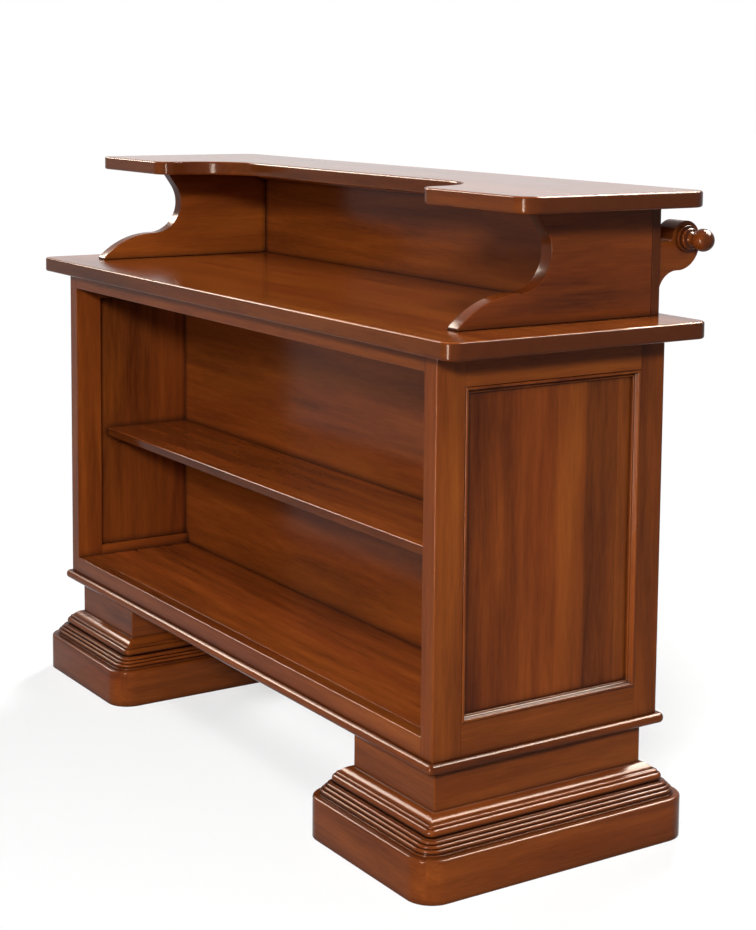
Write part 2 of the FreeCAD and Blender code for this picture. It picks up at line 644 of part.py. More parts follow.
FRAME_BACK = "(%s + frame_thick)" % WALL_FRAME
FRAME_LOW = "(%s + frame_rail_low)" % CARCASS_LOW
FRAME_HIGH = "(%s - frame_rail_high)" % CARCASS_TOP
FRAME_IN = "(%s - frame_stile)" % SIDE_IN
FIELD = "((2 * %s - 2 * frame_stile) / 3)" % FRAME_IN
FRAME_TENON_FRONT = "(%s + frame_thick * 0.35)" % WALL_FRAME
FRAME_TENON_BACK = "(%s + frame_thick * 0.75)" % WALL_FRAME


def frame_member(label, outline, tenons, sockets):
    """A board of the frame with its tenons, and mortises for the tenons of others."""
    body = new_body(label)
    pad(body, label + "_board", "XZ_Plane", [outline], "frame_thick", "-" + FRAME_BACK)
    if tenons:
        pad(body, label + "_tenons", "XZ_Plane", tenons, "frame_thick * 0.4", "-" + FRAME_TENON_BACK)
    if sockets:
        cut(body, label + "_mortises", "XZ_Plane", sockets, "frame_thick * 0.4 + 2 * panel_clear",
            "-(%s + panel_clear)" % FRAME_TENON_BACK, away=True)
    return body


RAIL_TENON_LOW = ("(%s + 10)" % CARCASS_LOW, "(%s - 10)" % FRAME_LOW)
RAIL_TENON_HIGH = ("(%s + 10)" % FRAME_HIGH, "(%s - 10)" % CARCASS_TOP)
for side, sign in (("left", "-"), ("right", "")):
    sockets = []
    for low, high in (RAIL_TENON_LOW, RAIL_TENON_HIGH):
        sockets.append(mirrored(rectangle(FRAME_IN, FRAME_IN + " + tenon_long + tenon_play",
                                          low + " - panel_clear", high + " + panel_clear"), sign))
    frame_member("frame_stile_" + side, mirrored(rectangle(FRAME_IN, SIDE_IN, CARCASS_LOW, CARCASS_TOP), sign),
                 [], sockets)
MUNTINS = [("left", "-(%s / 2 + frame_stile)" % FIELD, "-(%s / 2)" % FIELD),
           ("right", "(%s / 2)" % FIELD, "(%s / 2 + frame_stile)" % FIELD)]
for name, low, high, (tenon_low, tenon_high), seat in (
    ("frame_rail_low", CARCASS_LOW, FRAME_LOW, RAIL_TENON_LOW,
     ("%s - tenon_long - tenon_play" % FRAME_LOW, FRAME_LOW)),
    ("frame_rail_high", FRAME_HIGH, CARCASS_TOP, RAIL_TENON_HIGH,
     (FRAME_HIGH, "%s + tenon_long + tenon_play" % FRAME_HIGH)),
):
    ends = "(%s + tenon_long)" % FRAME_IN
    sockets = [rectangle(start + " + 10 - panel_clear", stop + " - 10 + panel_clear", *seat)
               for side, start, stop in MUNTINS]
    frame_member(name, rectangle("-" + FRAME_IN, FRAME_IN, low, high),
                 [rectangle("-" + ends, ends, tenon_low, tenon_high)], sockets)
for side, start, stop in MUNTINS:
    frame_member("frame_muntin_" + side, rectangle(start, stop, FRAME_LOW, FRAME_HIGH),
                 [rectangle(start + " + 10", stop + " - 10", FRAME_LOW + " - tenon_long",
                            FRAME_HIGH + " + tenon_long")], [])

FIELDS = [("left", "-" + FRAME_IN, "%s - %s" % (FIELD, FRAME_IN)),
          ("middle", "-(%s / 2)" % FIELD, "(%s / 2)" % FIELD),
          ("right", "%s - %s" % (FRAME_IN, FIELD), FRAME_IN)]
FIELD_BACK = "(%s + field_thick)" % WALL_FRAME
rings = []
for side, low, high in FIELDS:
    box("frame_panel_" + side, (low + " + field_clear", high + " - field_clear"), (WALL_FRAME, FIELD_BACK),
        (FRAME_LOW + " + field_clear", FRAME_HIGH + " - field_clear"))
    section = [("(%s) + %s" % (low, point[0]), "%s + %s" % (FIELD_BACK, point[1]))
               for point in strip_section("(frame_thick - field_thick)")]
    rings.append(strip_frame("frame_strip_" + side, "XZ_Plane", "-" + FIELD_BACK, section, (low, high),
                             (FRAME_LOW, FRAME_HIGH)))
place(group("frame_strips", rings))

# ---------------------------------------------------------------- counter top and bar top

counter_x = "(carcass_width / 2 + counter_over_end)"
counter_y = "(carcass_depth / 2 + counter_over_face)"
counter = new_body("counter_top")
plank = pad(counter, "counter_slab", "XY_Plane", [rounded(counter_x, counter_y, "counter_corner")],
            "counter_thick", CARCASS_TOP)
ease(counter, plank, "Chamfer", "top_edge", at_level(CARCASS_TOP, COUNTER_TOP))
cut(counter, "counter_grooves", "XY_Plane", tongues(LOWER_TENON, "tenon_play"),
    "tongue_deep + tenon_play", COUNTER_TOP)

END = "(carcass_width / 2 + bar_over_side)"
END_IN = "(%s - bar_corner)" % END
BAR_BACK = "(%s + bar_behind)" % RISER_BACK
BAR_MIDDLE = "(%s - bar_narrow)" % BAR_BACK
EAR = "(%s - bar_wide)" % BAR_BACK
NOSE_X = "(%s - ear_length + ear_nose)" % END
NOSE_Y = "(%s + ear_nose)" % EAR
COVE_Y = "(%s - ear_cove)" % BAR_MIDDLE
COVE_X = "(%s - sqrt((ear_nose + ear_cove) ^ 2 - (%s - %s) ^ 2))" % (NOSE_X, NOSE_Y, COVE_Y)
MEET_X = "(%s + (%s - %s) * ear_nose / (ear_nose + ear_cove))" % (NOSE_X, COVE_X, NOSE_X)
MEET_Y = "(%s + (%s - %s) * ear_nose / (ear_nose + ear_cove))" % (NOSE_Y, COVE_Y, NOSE_Y)
bar_outline = [
    ("-" + END, EAR + " + bar_corner", "bar_corner", "left"), ("-" + END_IN, EAR),
    ("-" + NOSE_X, EAR, "ear_nose", "left"), ("-" + MEET_X, MEET_Y, "ear_cove", "right"),
    ("-" + COVE_X, BAR_MIDDLE), (COVE_X, BAR_MIDDLE, "ear_cove", "right"), (MEET_X, MEET_Y, "ear_nose", "left"),
    (NOSE_X, EAR), (END_IN, EAR, "bar_corner", "left"), (END, EAR + " + bar_corner"),
    (END, BAR_BACK + " - bar_corner", "bar_corner", "left"), (END_IN, BAR_BACK),
    ("-" + END_IN, BAR_BACK, "bar_corner", "left"), ("-" + END, BAR_BACK + " - bar_corner"),
]
bar = new_body("bar_top")
plank = pad(bar, "bar_slab", "XY_Plane", [bar_outline], "bar_thick", BAR_LOW)
ease(bar, plank, "Chamfer", "top_edge", at_level(BAR_LOW, BAR_LOW + " + bar_thick"))
cut(bar, "bar_grooves", "XY_Plane", tongues(UPPER_TENON, "tenon_play"), "tongue_deep + tenon_play",
    BAR_LOW, away=True)

# ---------------------------------------------------------------- riser and scroll brackets

riser = new_body("riser")
pad(riser, "riser_board", "YZ_Plane", [rectangle(RISER_FRONT, RISER_BACK, COUNTER_TOP, BAR_LOW)],
    "2 * " + RISER_END, "-" + RISER_END)
pad(riser, "riser_tongues", "XY_Plane", tongues("0", "0")[:1], "riser_height + 2 * tongue_deep",
    COUNTER_TOP + " - tongue_deep")
box("bar_batten", ("scroll_thick - " + RISER_END, RISER_END + " - scroll_thick"),
    (RISER_FRONT + " - bar_batten", RISER_FRONT), (BAR_LOW + " - bar_batten", BAR_LOW))

WAIST = "(%s + scroll_waist)" % COUNTER_TOP
TOE = "(%s - scroll_length)" % RISER_BACK
TOE_TOP = "(%s + toe_height)" % COUNTER_TOP
# Radius of the back of the toe, which is level under the hook.
TOE_RISE = "(scroll_waist - toe_height)"
SWEEP = "(((scroll_length - hook_forward) ^ 2 + %s ^ 2) / (2 * %s))" % (TOE_RISE, TOE_RISE)
HOOK = "(%s - hook_forward)" % RISER_BACK
HOOK_Y = "(%s + hook_radius * cos(hook_angle))" % HOOK
HOOK_Z = "(%s + hook_radius + hook_radius * sin(hook_angle))" % WAIST
scroll_outline = [
    (TOE, COUNTER_TOP), (RISER_FRONT, COUNTER_TOP), (RISER_FRONT, BAR_LOW),
    ("%s - (%s - %s) * tan(hook_angle)" % (HOOK_Y, BAR_LOW, HOOK_Z), BAR_LOW),
    (HOOK_Y, HOOK_Z, "hook_radius", "right"),
    (HOOK + " + hook_radius", WAIST + " + hook_radius", "hook_radius", "right"),
    (HOOK, WAIST, SWEEP, "left"), (TOE, TOE_TOP),
]
for side, sign, start in (("left", "-", "-" + RISER_END), ("right", "", RISER_END + " - scroll_thick")):
    scroll = new_body("scroll_bracket_" + side)
    pad(scroll, "scroll_" + side, "YZ_Plane", [scroll_outline], "scroll_thick", start)
    number = 1 if sign else 2
    for end, front, level in (("foot", LOWER_TENON, COUNTER_TOP), ("top", UPPER_TENON, BAR_LOW)):
        pad(scroll, "scroll_%s_tenon_%s" % (end, side), "XY_Plane", [tongues(front, "0")[number]],
            "2 * tongue_deep", level + " - tongue_deep")

# ---------------------------------------------------------------- hand rail, its brackets and end knobs

BELLY_Y = "(%s - %s)" % (RAIL_Y, BELLY_IN)
ARM_TOP = "(%s - arm_drop)" % RAIL_Z
UNDER = "(%s - (belly_radius - head_radius) * sin(belly_turn) - belly_radius)" % RAIL_Z
FOOT = "(rail_out - %s - foot_flat)" % BELLY_IN
THROAT = "sqrt((head_radius + throat_radius) ^ 2 - (throat_radius - arm_drop) ^ 2)"
arm_outline = [
    (RISER_BACK, "%s - %s" % (UNDER, FOOT), FOOT, "right"), ("%s + %s" % (RISER_BACK, FOOT), UNDER),
    (BELLY_Y, UNDER, "belly_radius", "left"),
    (RAIL_Y + " + head_radius * cos(belly_turn)", RAIL_Z + " + head_radius * sin(belly_turn)", "head_radius",
     "left"),
    (RAIL_Y, RAIL_Z + " + head_radius", "head_radius", "left"),
    ("%s - %s * head_radius / (head_radius + throat_radius)" % (RAIL_Y, THROAT),
     "%s + (throat_radius - arm_drop) * head_radius / (head_radius + throat_radius)" % RAIL_Z, "throat_radius",
     "right"),
    ("%s - %s" % (RAIL_Y, THROAT), ARM_TOP), (RISER_BACK, ARM_TOP),
]
ARM_OUT = "(%s - arm_inset)" % RISER_END
ARM_IN = "(%s - arm_thick)" % ARM_OUT
knob_outline = [("-spigot_long", "0")]
knob_outline += [("ball_out + ball_radius * cos(%d)" % angle, "ball_radius * sin(%d)" % angle)
                 for angle in range(0, 150, 30)]
knob_outline += [
    ("ball_out - sqrt(ball_radius ^ 2 - neck_radius ^ 2)", "neck_radius"),
    ("collar_deep + ring_deep", "neck_radius"),
    ("collar_deep + ring_deep", "ring_radius - ring_deep * 0.4"),
    ("collar_deep + ring_deep * 0.6", "ring_radius"),
    ("collar_deep", "ring_radius"), ("collar_deep", "collar_radius"), ("0", "collar_radius"),
    ("0", "spigot_radius"), ("-spigot_long", "spigot_radius"),
]
knobs = []
for side, sign, start in (("left", "-", "-" + ARM_OUT), ("right", "", ARM_IN)):
    arm = new_body("rail_bracket_" + side)
    block = pad(arm, "arm_" + side, "YZ_Plane", [arm_outline], "arm_thick", start)
    cut(arm, "rail_socket_" + side, "YZ_Plane", [("circle", RAIL_Y, RAIL_Z, "rail_radius + rail_fit")],
        "rail_socket", sign + ARM_IN, away=(sign == ""))
    cut(arm, "knob_socket_" + side, "YZ_Plane", [("circle", RAIL_Y, RAIL_Z, "spigot_radius + rail_fit")],
        "spigot_long + rail_seat", sign + ARM_OUT, away=(sign == "-"))
    knob = doc.addObject("PartDesign::Body", "rail_knob_" + side)
    place(knob, sign + ARM_OUT, RAIL_Y, RAIL_Z)
    knobs.append(knob)
    profile = new_sketch(knob, "knob_section_" + side, "XZ_Plane", [mirrored(knob_outline, sign)])
    turning = knob.newObject("PartDesign::Revolution", "knob_turning_" + side)
    turning.Profile = profile
    turning.ReferenceAxis = (profile, ["H_Axis"])
    turning.Angle = 360
    doc.recompute()
group("rail_knobs", knobs)
rail = new_body("hand_rail")
rail_end = "(%s + rail_socket - rail_seat)" % ARM_IN
pad(rail, "rail_bar", "YZ_Plane", [("circle", RAIL_Y, RAIL_Z, "rail_radius")], "2 * " + rail_end,
    "-" + rail_end)

# ---------------------------------------------------------------- write every piece

doc.recompute()
faults = [item.Name for item in doc.Objects if "Invalid" in item.State or "Error" in item.State]
for piece in PARTS:
    if piece.Shape.isNull() or not piece.Shape.isValid() or not piece.Shape.Solids:
        faults.append(piece.Label)
if faults:
    raise RuntimeError("failed: " + ", ".join(faults))
os.makedirs("parts", exist_ok=True)
for piece in PARTS:
    piece.Shape.exportStep("parts/%s.step" % piece.Label)
    bounds = piece.Shape.BoundBox
    print("%-24s %d solid(s)  x %.1f..%.1f  y %.1f..%.1f  z %.1f..%.1f" % (
        piece.Label, len(piece.Shape.Solids), bounds.XMin, bounds.XMax, bounds.YMin, bounds.YMax, bounds.ZMin,
        bounds.ZMax))
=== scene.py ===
"""Looks of the bar counter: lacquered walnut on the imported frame, with finer mouldings and turned knobs, in a
pale studio and seen by the photograph's camera. Metres, in the frame of the CAD model. The profiles of the
mouldings and knobs are in millimetres."""

import math

import bmesh
import bpy
from mathutils import Matrix, Vector


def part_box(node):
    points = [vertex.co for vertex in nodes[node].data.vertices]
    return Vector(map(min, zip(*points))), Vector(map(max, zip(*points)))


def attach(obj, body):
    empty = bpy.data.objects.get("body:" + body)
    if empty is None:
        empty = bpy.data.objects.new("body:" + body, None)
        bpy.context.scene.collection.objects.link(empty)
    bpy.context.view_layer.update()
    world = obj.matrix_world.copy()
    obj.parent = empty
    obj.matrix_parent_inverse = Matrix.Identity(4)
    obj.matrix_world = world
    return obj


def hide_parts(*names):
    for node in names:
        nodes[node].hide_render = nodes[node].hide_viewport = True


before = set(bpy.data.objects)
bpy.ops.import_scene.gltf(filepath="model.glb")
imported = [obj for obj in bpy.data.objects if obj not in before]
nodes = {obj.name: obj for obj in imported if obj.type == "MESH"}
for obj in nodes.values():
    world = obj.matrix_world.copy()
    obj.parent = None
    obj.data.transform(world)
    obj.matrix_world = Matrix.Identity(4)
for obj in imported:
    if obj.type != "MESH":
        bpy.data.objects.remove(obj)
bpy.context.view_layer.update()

MM = 0.001
SIDES = {"left": -1, "right": 1}
AXES = {"x": 0, "y": 1, "z": 2}

# ---------------------------------------------------------------- node trees


def grey(level):
    return (level, level, level, 1)


BLACK = grey(0)
WHITE = grey(1)

# Sockets of a Mix node that mixes colours.
MIX_FACTOR, MIX_FIRST, MIX_SECOND, MIX_RESULT = 0, 6, 7, 2


class Graph:
    """Short hand for building the node tree of a material or of the world."""

    def __init__(self, owner):
        owner.use_nodes = True
        self.owner = owner
        self.tree = owner.node_tree
        self.tree.nodes.clear()

    def add(self, kind, **settings):
        node = self.tree.nodes.new(kind)
        for key, value in settings.items():
            setattr(node, key, value)
        return node

    def link(self, source, target):
        self.tree.links.new(source, target)

    def feed(self, socket, value):
        """Give a socket a constant, or link an output to it."""
        if isinstance(value, (int, float, tuple)):
            socket.default_value = value
        else:
            self.link(value, socket)

    def math(self, operation, first, second=None):
        node = self.add("ShaderNodeMath", operation=operation)
        self.feed(node.inputs[0], first)
        if second is not None:
            self.feed(node.inputs[1], second)
        return node.outputs[0]

    def weighted(self, *parts):
        """The sum of some values, each times its share."""
        products = [self.math("MULTIPLY", value, share) for value, share in parts]
        total = products[0]
        for product in products[1:]:
            total = self.math("ADD", total, product)
        return total

    def centred(self, value, amount):
        """A value around one half, turned into one around nought."""
        return self.math("MULTIPLY", self.math("SUBTRACT", value, 0.5), amount)

    def mix(self, factor, first, second, blend="MIX"):
        node = self.add("ShaderNodeMix", data_type="RGBA", blend_type=blend)
        self.feed(node.inputs[MIX_FACTOR], factor)
        self.feed(node.inputs[MIX_FIRST], first)
        self.feed(node.inputs[MIX_SECOND], second)
        return node.outputs[MIX_RESULT]

    def noise(self, vector, scale, detail, distortion):
        node = self.add("ShaderNodeTexNoise")
        node.inputs["Scale"].default_value = scale
        node.inputs["Detail"].default_value = detail
        node.inputs["Distortion"].default_value = distortion
        self.link(vector, node.inputs["Vector"])
        return node.outputs["Fac"]

    def ramp(self, factor, stops):
        node = self.add("ShaderNodeValToRGB")
        while len(node.color_ramp.elements) < len(stops):
            node.color_ramp.elements.new(0.5)
        for element, (position, colour) in zip(node.color_ramp.elements, stops):
            element.position = position
            element.color = colour
        self.link(factor, node.inputs[0])
        return node.outputs[0]

    def split(self, vector):
        """The three parts of a vector."""
        node = self.add("ShaderNodeSeparateXYZ")
        self.link(vector, node.inputs[0])
        return node.outputs

    def show(self, shader, kind="ShaderNodeOutputMaterial"):
        self.link(shader.outputs[0], self.add(kind).inputs[0])


# ---------------------------------------------------------------- wood

# Colours are linear. The stain is read off the side panel, the stiles and the plinth.
STAIN_DARK = (0.060, 0.0128, 0.0032, 1)
STAIN_MIDDLE = (0.142, 0.0318, 0.0056, 1)
STAIN_LIGHT = (0.240, 0.0600, 0.0090, 1)
STAIN = ((0.32, STAIN_DARK), (0.50, STAIN_MIDDLE), (0.71, STAIN_LIGHT))
RED_SHADE = (0.96, 0.86, 0.95, 1)
AMBER_SHADE = (1.04, 1.12, 1.00, 1)
SHADES = ((0.25, RED_SHADE), (0.75, AMBER_SHADE))

# End grain takes more stain. A board's flat is painted lighter, as painted light, and its edges darker, partly
# a darker stain and partly painted shade. Both go by how much a face looks along the grain, or up and down.
END_GRAIN = (0.062, 0.0140, 0.0036, 1)
END_SHARE = ((0.55, BLACK), (0.80, grey(0.85)))
BOARD_LIGHT_AND_SHADE = ((0.45, grey(0.66)), (0.85, grey(1.60)))

# The figure is three layers of noise, as (scale, detail, distortion), each with its share.
CLOUDS, CLOUD_SHARE = (0.55, 3.0, 0.6), 0.45
STREAKS, STREAK_SHARE = (3.2, 5.0, 0.3), 0.38
PORES, PORE_SHARE = (22.0, 4.0, 0.0), 0.17
WARMTH = (0.9, 2.0, 0.0)

# How fast the noise changes across and along the grain, and how far apart the pieces are cut from the wood.
ACROSS_GRAIN = 12.0
ALONG_GRAIN = 1.1
PIECE_SHIFT = (37.0, 61.0, 83.0)
PIECE_SHADE = 0.05

# Panels are glued up from staves, as (axis across them, usual width), which differ in shade and warmth.
SIDE_STAVES = ("y", 0.060)
WALL_STAVES = ("x", 0.075)
STAVE_SHADE = 0.15
STAVE_WARMTH = 0.5

# Painted shade, with a dark glaze, where other surfaces hem the wood in, under a thin satin lacquer.
GLAZE_AND_SHADE = (0.020, 0.0055, 0.0025, 1)
SHADE_REACH = 0.016
SHADE_FADE = ((0.35, BLACK), (0.92, WHITE))
SHADE_SAMPLES = 6
LACQUER_IOR = 1.15
SATIN = 0.17
POLISHED = 0.14
PORE_ROUGHNESS = 0.08
PORE_BUMP = 0.05
PORE_DEPTH = 0.0006


def grain_space(graph, grain):
    """Object coordinates stretched along the grain and moved by another amount for each object, the plain
    coordinates, and the object's own chance."""
    place = graph.add("ShaderNodeTexCoord").outputs["Object"]
    chance = graph.add("ShaderNodeObjectInfo").outputs["Random"]
    scale = [ACROSS_GRAIN] * 3
    scale[AXES[grain]] = ALONG_GRAIN
    mapping = graph.add("ShaderNodeMapping")
    mapping.inputs["Scale"].default_value = scale
    graph.link(place, mapping.inputs["Vector"])
    shift = graph.add("ShaderNodeCombineXYZ")
    for socket, factor in zip(shift.inputs, PIECE_SHIFT):
        graph.link(graph.math("MULTIPLY", chance, factor), socket)
    moved = graph.add("ShaderNodeVectorMath", operation="ADD")
    graph.link(mapping.outputs[0], moved.inputs[0])
    graph.link(shift.outputs[0], moved.inputs[1])
    return moved.outputs[0], place, chance


def stave_tones(graph, place, across, width):
    """Shade and warmth of staves of uneven width."""
    cells = graph.add("ShaderNodeTexVoronoi", voronoi_dimensions="1D")
    cells.inputs["Scale"].default_value = 1.0 / width
    graph.link(graph.split(place)[AXES[across]], cells.inputs["W"])
    chances = graph.add("ShaderNodeSeparateColor")
    graph.link(cells.outputs["Color"], chances.inputs[0])
    return graph.centred(chances.outputs[0], STAVE_SHADE), graph.centred(chances.outputs[1], STAVE_WARMTH)


def figure(graph, grain, staves=None):
    """Colour of the wood, and the layer of its pores."""
    vector, place, chance = grain_space(graph, grain)
    clouds = graph.noise(vector, *CLOUDS)
    streaks = graph.noise(vector, *STREAKS)
    pores = graph.noise(vector, *PORES)
    value = graph.weighted((clouds, CLOUD_SHARE), (streaks, STREAK_SHARE), (pores, PORE_SHARE))
    warmth = graph.noise(vector, *WARMTH)
    if staves:
        shade, warm = stave_tones(graph, place, *staves)
        value = graph.math("ADD", value, shade)
        warmth = graph.math("ADD", warmth, warm)
    value = graph.math("ADD", value, graph.centred(chance, PIECE_SHADE))
    return graph.mix(1.0, graph.ramp(value, STAIN), graph.ramp(warmth, SHADES), "MULTIPLY"), pores


def lacquered(graph, colour, pores, roughness):
    """Painted shade and dark glaze where the surface is hemmed in, and lacquer over a colour, with the pores
    just showing in the gloss.
    """
    # Ambient occlusion darkens the colour in quirks, corners and under overhangs: painted shade, with a dark
    # glaze there.
    hollow = graph.add("ShaderNodeAmbientOcclusion", samples=SHADE_SAMPLES)
    hollow.inputs["Distance"].default_value = SHADE_REACH
    clear = graph.ramp(hollow.outputs["AO"], SHADE_FADE)
    bump = graph.add("ShaderNodeBump")
    bump.inputs["Strength"].default_value = PORE_BUMP
    bump.inputs["Distance"].default_value = PORE_DEPTH
    graph.link(pores, bump.inputs["Height"])
    shader = graph.add("ShaderNodeBsdfPrincipled")
    shader.inputs["IOR"].default_value = LACQUER_IOR
    graph.link(graph.mix(clear, GLAZE_AND_SHADE, colour), shader.inputs["Base Color"])
    graph.link(graph.math("ADD", graph.centred(pores, PORE_ROUGHNESS), roughness), shader.inputs["Roughness"])
    graph.link(bump.outputs[0], shader.inputs["Normal"])
    graph.show(shader)


def wood(name, grain, staves=None, roughness=SATIN, board=False):
    """Stained walnut with its grain along one axis. 'round' grain runs along X or Y, whichever of the two a
    face looks less, and has no end grain."""
    graph = Graph(bpy.data.materials.new(name))
    normal = graph.add("ShaderNodeNewGeometry").outputs["Normal"]
    facing = [graph.math("ABSOLUTE", part) for part in graph.split(normal)]
    if grain == "round":
        along, pores = figure(graph, "x")
        around = figure(graph, "y")[0]
        colour = graph.mix(graph.math("GREATER_THAN", facing[0], facing[1]), along, around)
    else:
        colour, pores = figure(graph, grain, staves)
        if board:
            # A board's flat is painted lighter and its edges darker by which way a face looks: painted light on
            # the flat, painted shade with a darker stain on the edges.
            colour = graph.mix(1.0, colour, graph.ramp(facing[2], BOARD_LIGHT_AND_SHADE), "MULTIPLY")
        colour = graph.mix(graph.ramp(facing[AXES[grain]], END_SHARE), colour, END_GRAIN)
    lacquered(graph, colour, pores, roughness)
    return graph.owner


WOODS = {
    wood("walnut_along", "x"): (
        "sill_rail", "apron_rail", "riser", "bar_batten", "hand_rail", "frame_rail_low", "frame_rail_high",
        "rail_knobs", "wall_board"),
    wood("walnut_top", "x", roughness=POLISHED, board=True): (
        "counter_top", "bar_top", "floor_board", "shelf"),
    wood("walnut_across", "y"): (
        "side_rail_low", "side_rail_high", "scroll_bracket", "rail_bracket", "shelf_cleat", "counter_batten",
        "floor_bearers"),
    wood("walnut_upright", "z"): (
        "front_stile", "rear_stile", "frame_stile", "frame_muntin", "panel_strip", "frame_strips"),
    wood("walnut_round", "round"): (
        "plinth_block", "plinth_core", "plinth_reeds", "plinth_beads", "neck", "base_board"),
    wood("walnut_panel", "z", staves=SIDE_STAVES): ("side_panel",),
    wood("walnut_panel_long", "z", staves=WALL_STAVES): ("frame_panel",),
}


def wood_of(node):
    for material, names in WOODS.items():
        if any(node == name or node.startswith(name + "_") for name in names):
            return material
    raise ValueError("no wood for " + node)


# ---------------------------------------------------------------- pieces

CRISP_TURN = 35


def add_piece(name, form, node, crisp=CRISP_TURN):
    """A visible piece from a bmesh. It stands for a node, rides on that node's body and has its wood. Its
    shading is smooth, apart from edges that turn by more than so many degrees."""
    mesh = bpy.data.meshes.new(name)
    form.to_mesh(mesh)
    form.free()
    for face in mesh.polygons:
        face.use_smooth = True
    mesh.set_sharp_from_angle(angle=math.radians(crisp))
    mesh.materials.append(wood_of(node))
    piece = bpy.data.objects.new(name, mesh)
    bpy.context.scene.collection.objects.link(piece)
    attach(piece, "shelf" if node == "shelf" else "counter")
    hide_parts(node)
    return piece


def skinned(name, rings, node, lids=False, crisp=CRISP_TURN):
    """A piece through a closed row of profiles. The profiles are closed as well. With lids they are open, and
    their first points bound one flat lid and their last points the other."""
    form = bmesh.new()
    rings = [[form.verts.new(place) for place in ring] for ring in rings]
    count = len(rings[0])
    for ring, after in zip(rings, rings[1:] + rings[:1]):
        for row in range(count - 1 if lids else count):
            following = (row + 1) % count
            form.faces.new((ring[row], after[row], after[following], ring[following]))
    if lids:
        form.faces.new([ring[0] for ring in rings])
        form.faces.new([ring[-1] for ring in rings])
    bmesh.ops.recalc_face_normals(form, faces=form.faces)
    add_piece(name, form, node, crisp)


def reach(node):
    """How far from the counter's middle a piece of one side begins and ends."""
    return sorted(abs(corner.x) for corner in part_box(node))


def arc(centre, radius, start, end, steps):
    """Points of an arc in a profile; angles in degrees, 0 along its first axis and 90 along its second."""
    points = []
    for step in range(steps + 1):
        angle = math.radians(start + (end - start) * step / steps)
        points.append((centre[0] + radius * math.cos(angle), centre[1] + radius * math.sin(angle)))
    return points


# ---------------------------------------------------------------- eased copies of the CAD pieces

# How near two places count as the same, up to what turn in degrees an edge is flat, and from what turns it is
# sharp enough to ease.
MERGED = 0.00001
NEAR = 0.0004
FLAT_TURN = 0.4
SOFT_TURN = 20
FINE_TURN = 30

# Widths of the easing, and how many steps round it off.
BOARD_EASE = 0.0045
FRONT_EASE = 0.003
RAIL_EASE = 0.002
BRACKET_EASE = 0.0022
FINE_EASE = 0.0005
SOFT_STEPS = 4
FINE_STEPS = 2

# Chamfer that the two tops have in the CAD.
TOP_CHAMFER = 0.0025


def sharp_edges(form, turn, chosen=None):
    """Edges between two faces that turn by more than so many degrees."""
    limit = math.radians(turn)
    return [edge for edge in form.edges if len(edge.link_faces) == 2 and edge.calc_face_angle(0) > limit
            and (chosen is None or chosen(edge))]


def bevel(form, edges, width, steps):
    bmesh.ops.bevel(form, geom=edges, offset=width, segments=steps, profile=0.5, affect="EDGES",
                    clamp_overlap=True)


def eased(name, fine=FINE_EASE, soft=0.0, chosen=None):
    """A copy of a node with its chosen edges rounded softly and its other sharp edges eased a little."""
    source = nodes[name]
    form = bmesh.new()
    form.from_mesh(source.data)
    form.transform(source.matrix_world)
    bmesh.ops.remove_doubles(form, verts=form.verts, dist=MERGED)
    bmesh.ops.dissolve_limit(form, angle_limit=math.radians(FLAT_TURN), verts=form.verts, edges=form.edges)
    if chosen:
        bevel(form, sharp_edges(form, SOFT_TURN, chosen), soft, SOFT_STEPS)
    bevel(form, sharp_edges(form, FINE_TURN), fine, FINE_STEPS)
    weighted = add_piece(name + "_eased", form, name).modifiers.new("weighted", "WEIGHTED_NORMAL")
    weighted.keep_sharp = True


def in_faces(node, *faces):
    """Chooses the edges that lie in all of some faces of a node's box."""
    low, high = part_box(node)
    planes = {"left": (0, low.x), "right": (0, high.x), "front": (1, low.y), "rear": (1, high.y),
              "bottom": (2, low.z), "top": (2, high.z)}
    picked = [planes[face] for face in faces]
    return lambda edge: all(abs(end.co[axis] - place) < NEAR for end in edge.verts for axis, place in picked)


def round_a_board(node):
    """Chooses the level edges of a chamfered board, above and below."""
    low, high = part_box(node)
    levels = (low.z, low.z + TOP_CHAMFER, high.z - TOP_CHAMFER, high.z)
    return lambda edge: any(all(abs(end.co.z - level) < NEAR for end in edge.verts) for level in levels)


OWN_FORM = ("plinth_", "rail_knobs", "panel_strip", "frame_strips", "floor_bearers")
EASING = {
    "counter_top": dict(soft=BOARD_EASE, chosen=round_a_board("counter_top")),
    "bar_top": dict(soft=BOARD_EASE, chosen=round_a_board("bar_top")),
    "shelf": dict(soft=FRONT_EASE, chosen=in_faces("shelf", "front")),
    "sill_rail": dict(soft=RAIL_EASE, chosen=in_faces("sill_rail", "front", "top")),
    "apron_rail": dict(soft=RAIL_EASE, chosen=in_faces("apron_rail", "front", "bottom")),
}
for side in SIDES:
    for end in ("front", "rear"):
        stile = "%s_stile_%s" % (end, side)
        EASING[stile] = dict(soft=FRONT_EASE, chosen=in_faces(stile, side, end))
    EASING["scroll_bracket_" + side] = dict(fine=BRACKET_EASE)
    EASING["rail_bracket_" + side] = dict(fine=BRACKET_EASE)
for name in nodes:
    if not name.startswith(OWN_FORM):
        eased(name, **EASING.get(name, {}))
nodes["floor_bearers"].data.materials.clear()
nodes["floor_bearers"].data.materials.append(wood_of("floor_bearers"))

# ---------------------------------------------------------------- plinths: mouldings swept round the corners

# A corner has the same centre for every point of a profile, this far beyond the neck. Nearer to the neck it
# is sharp.
CORNER_CENTRE = 17.0
SHARP_CORNER = 0.4
CORNER_STEPS = 14

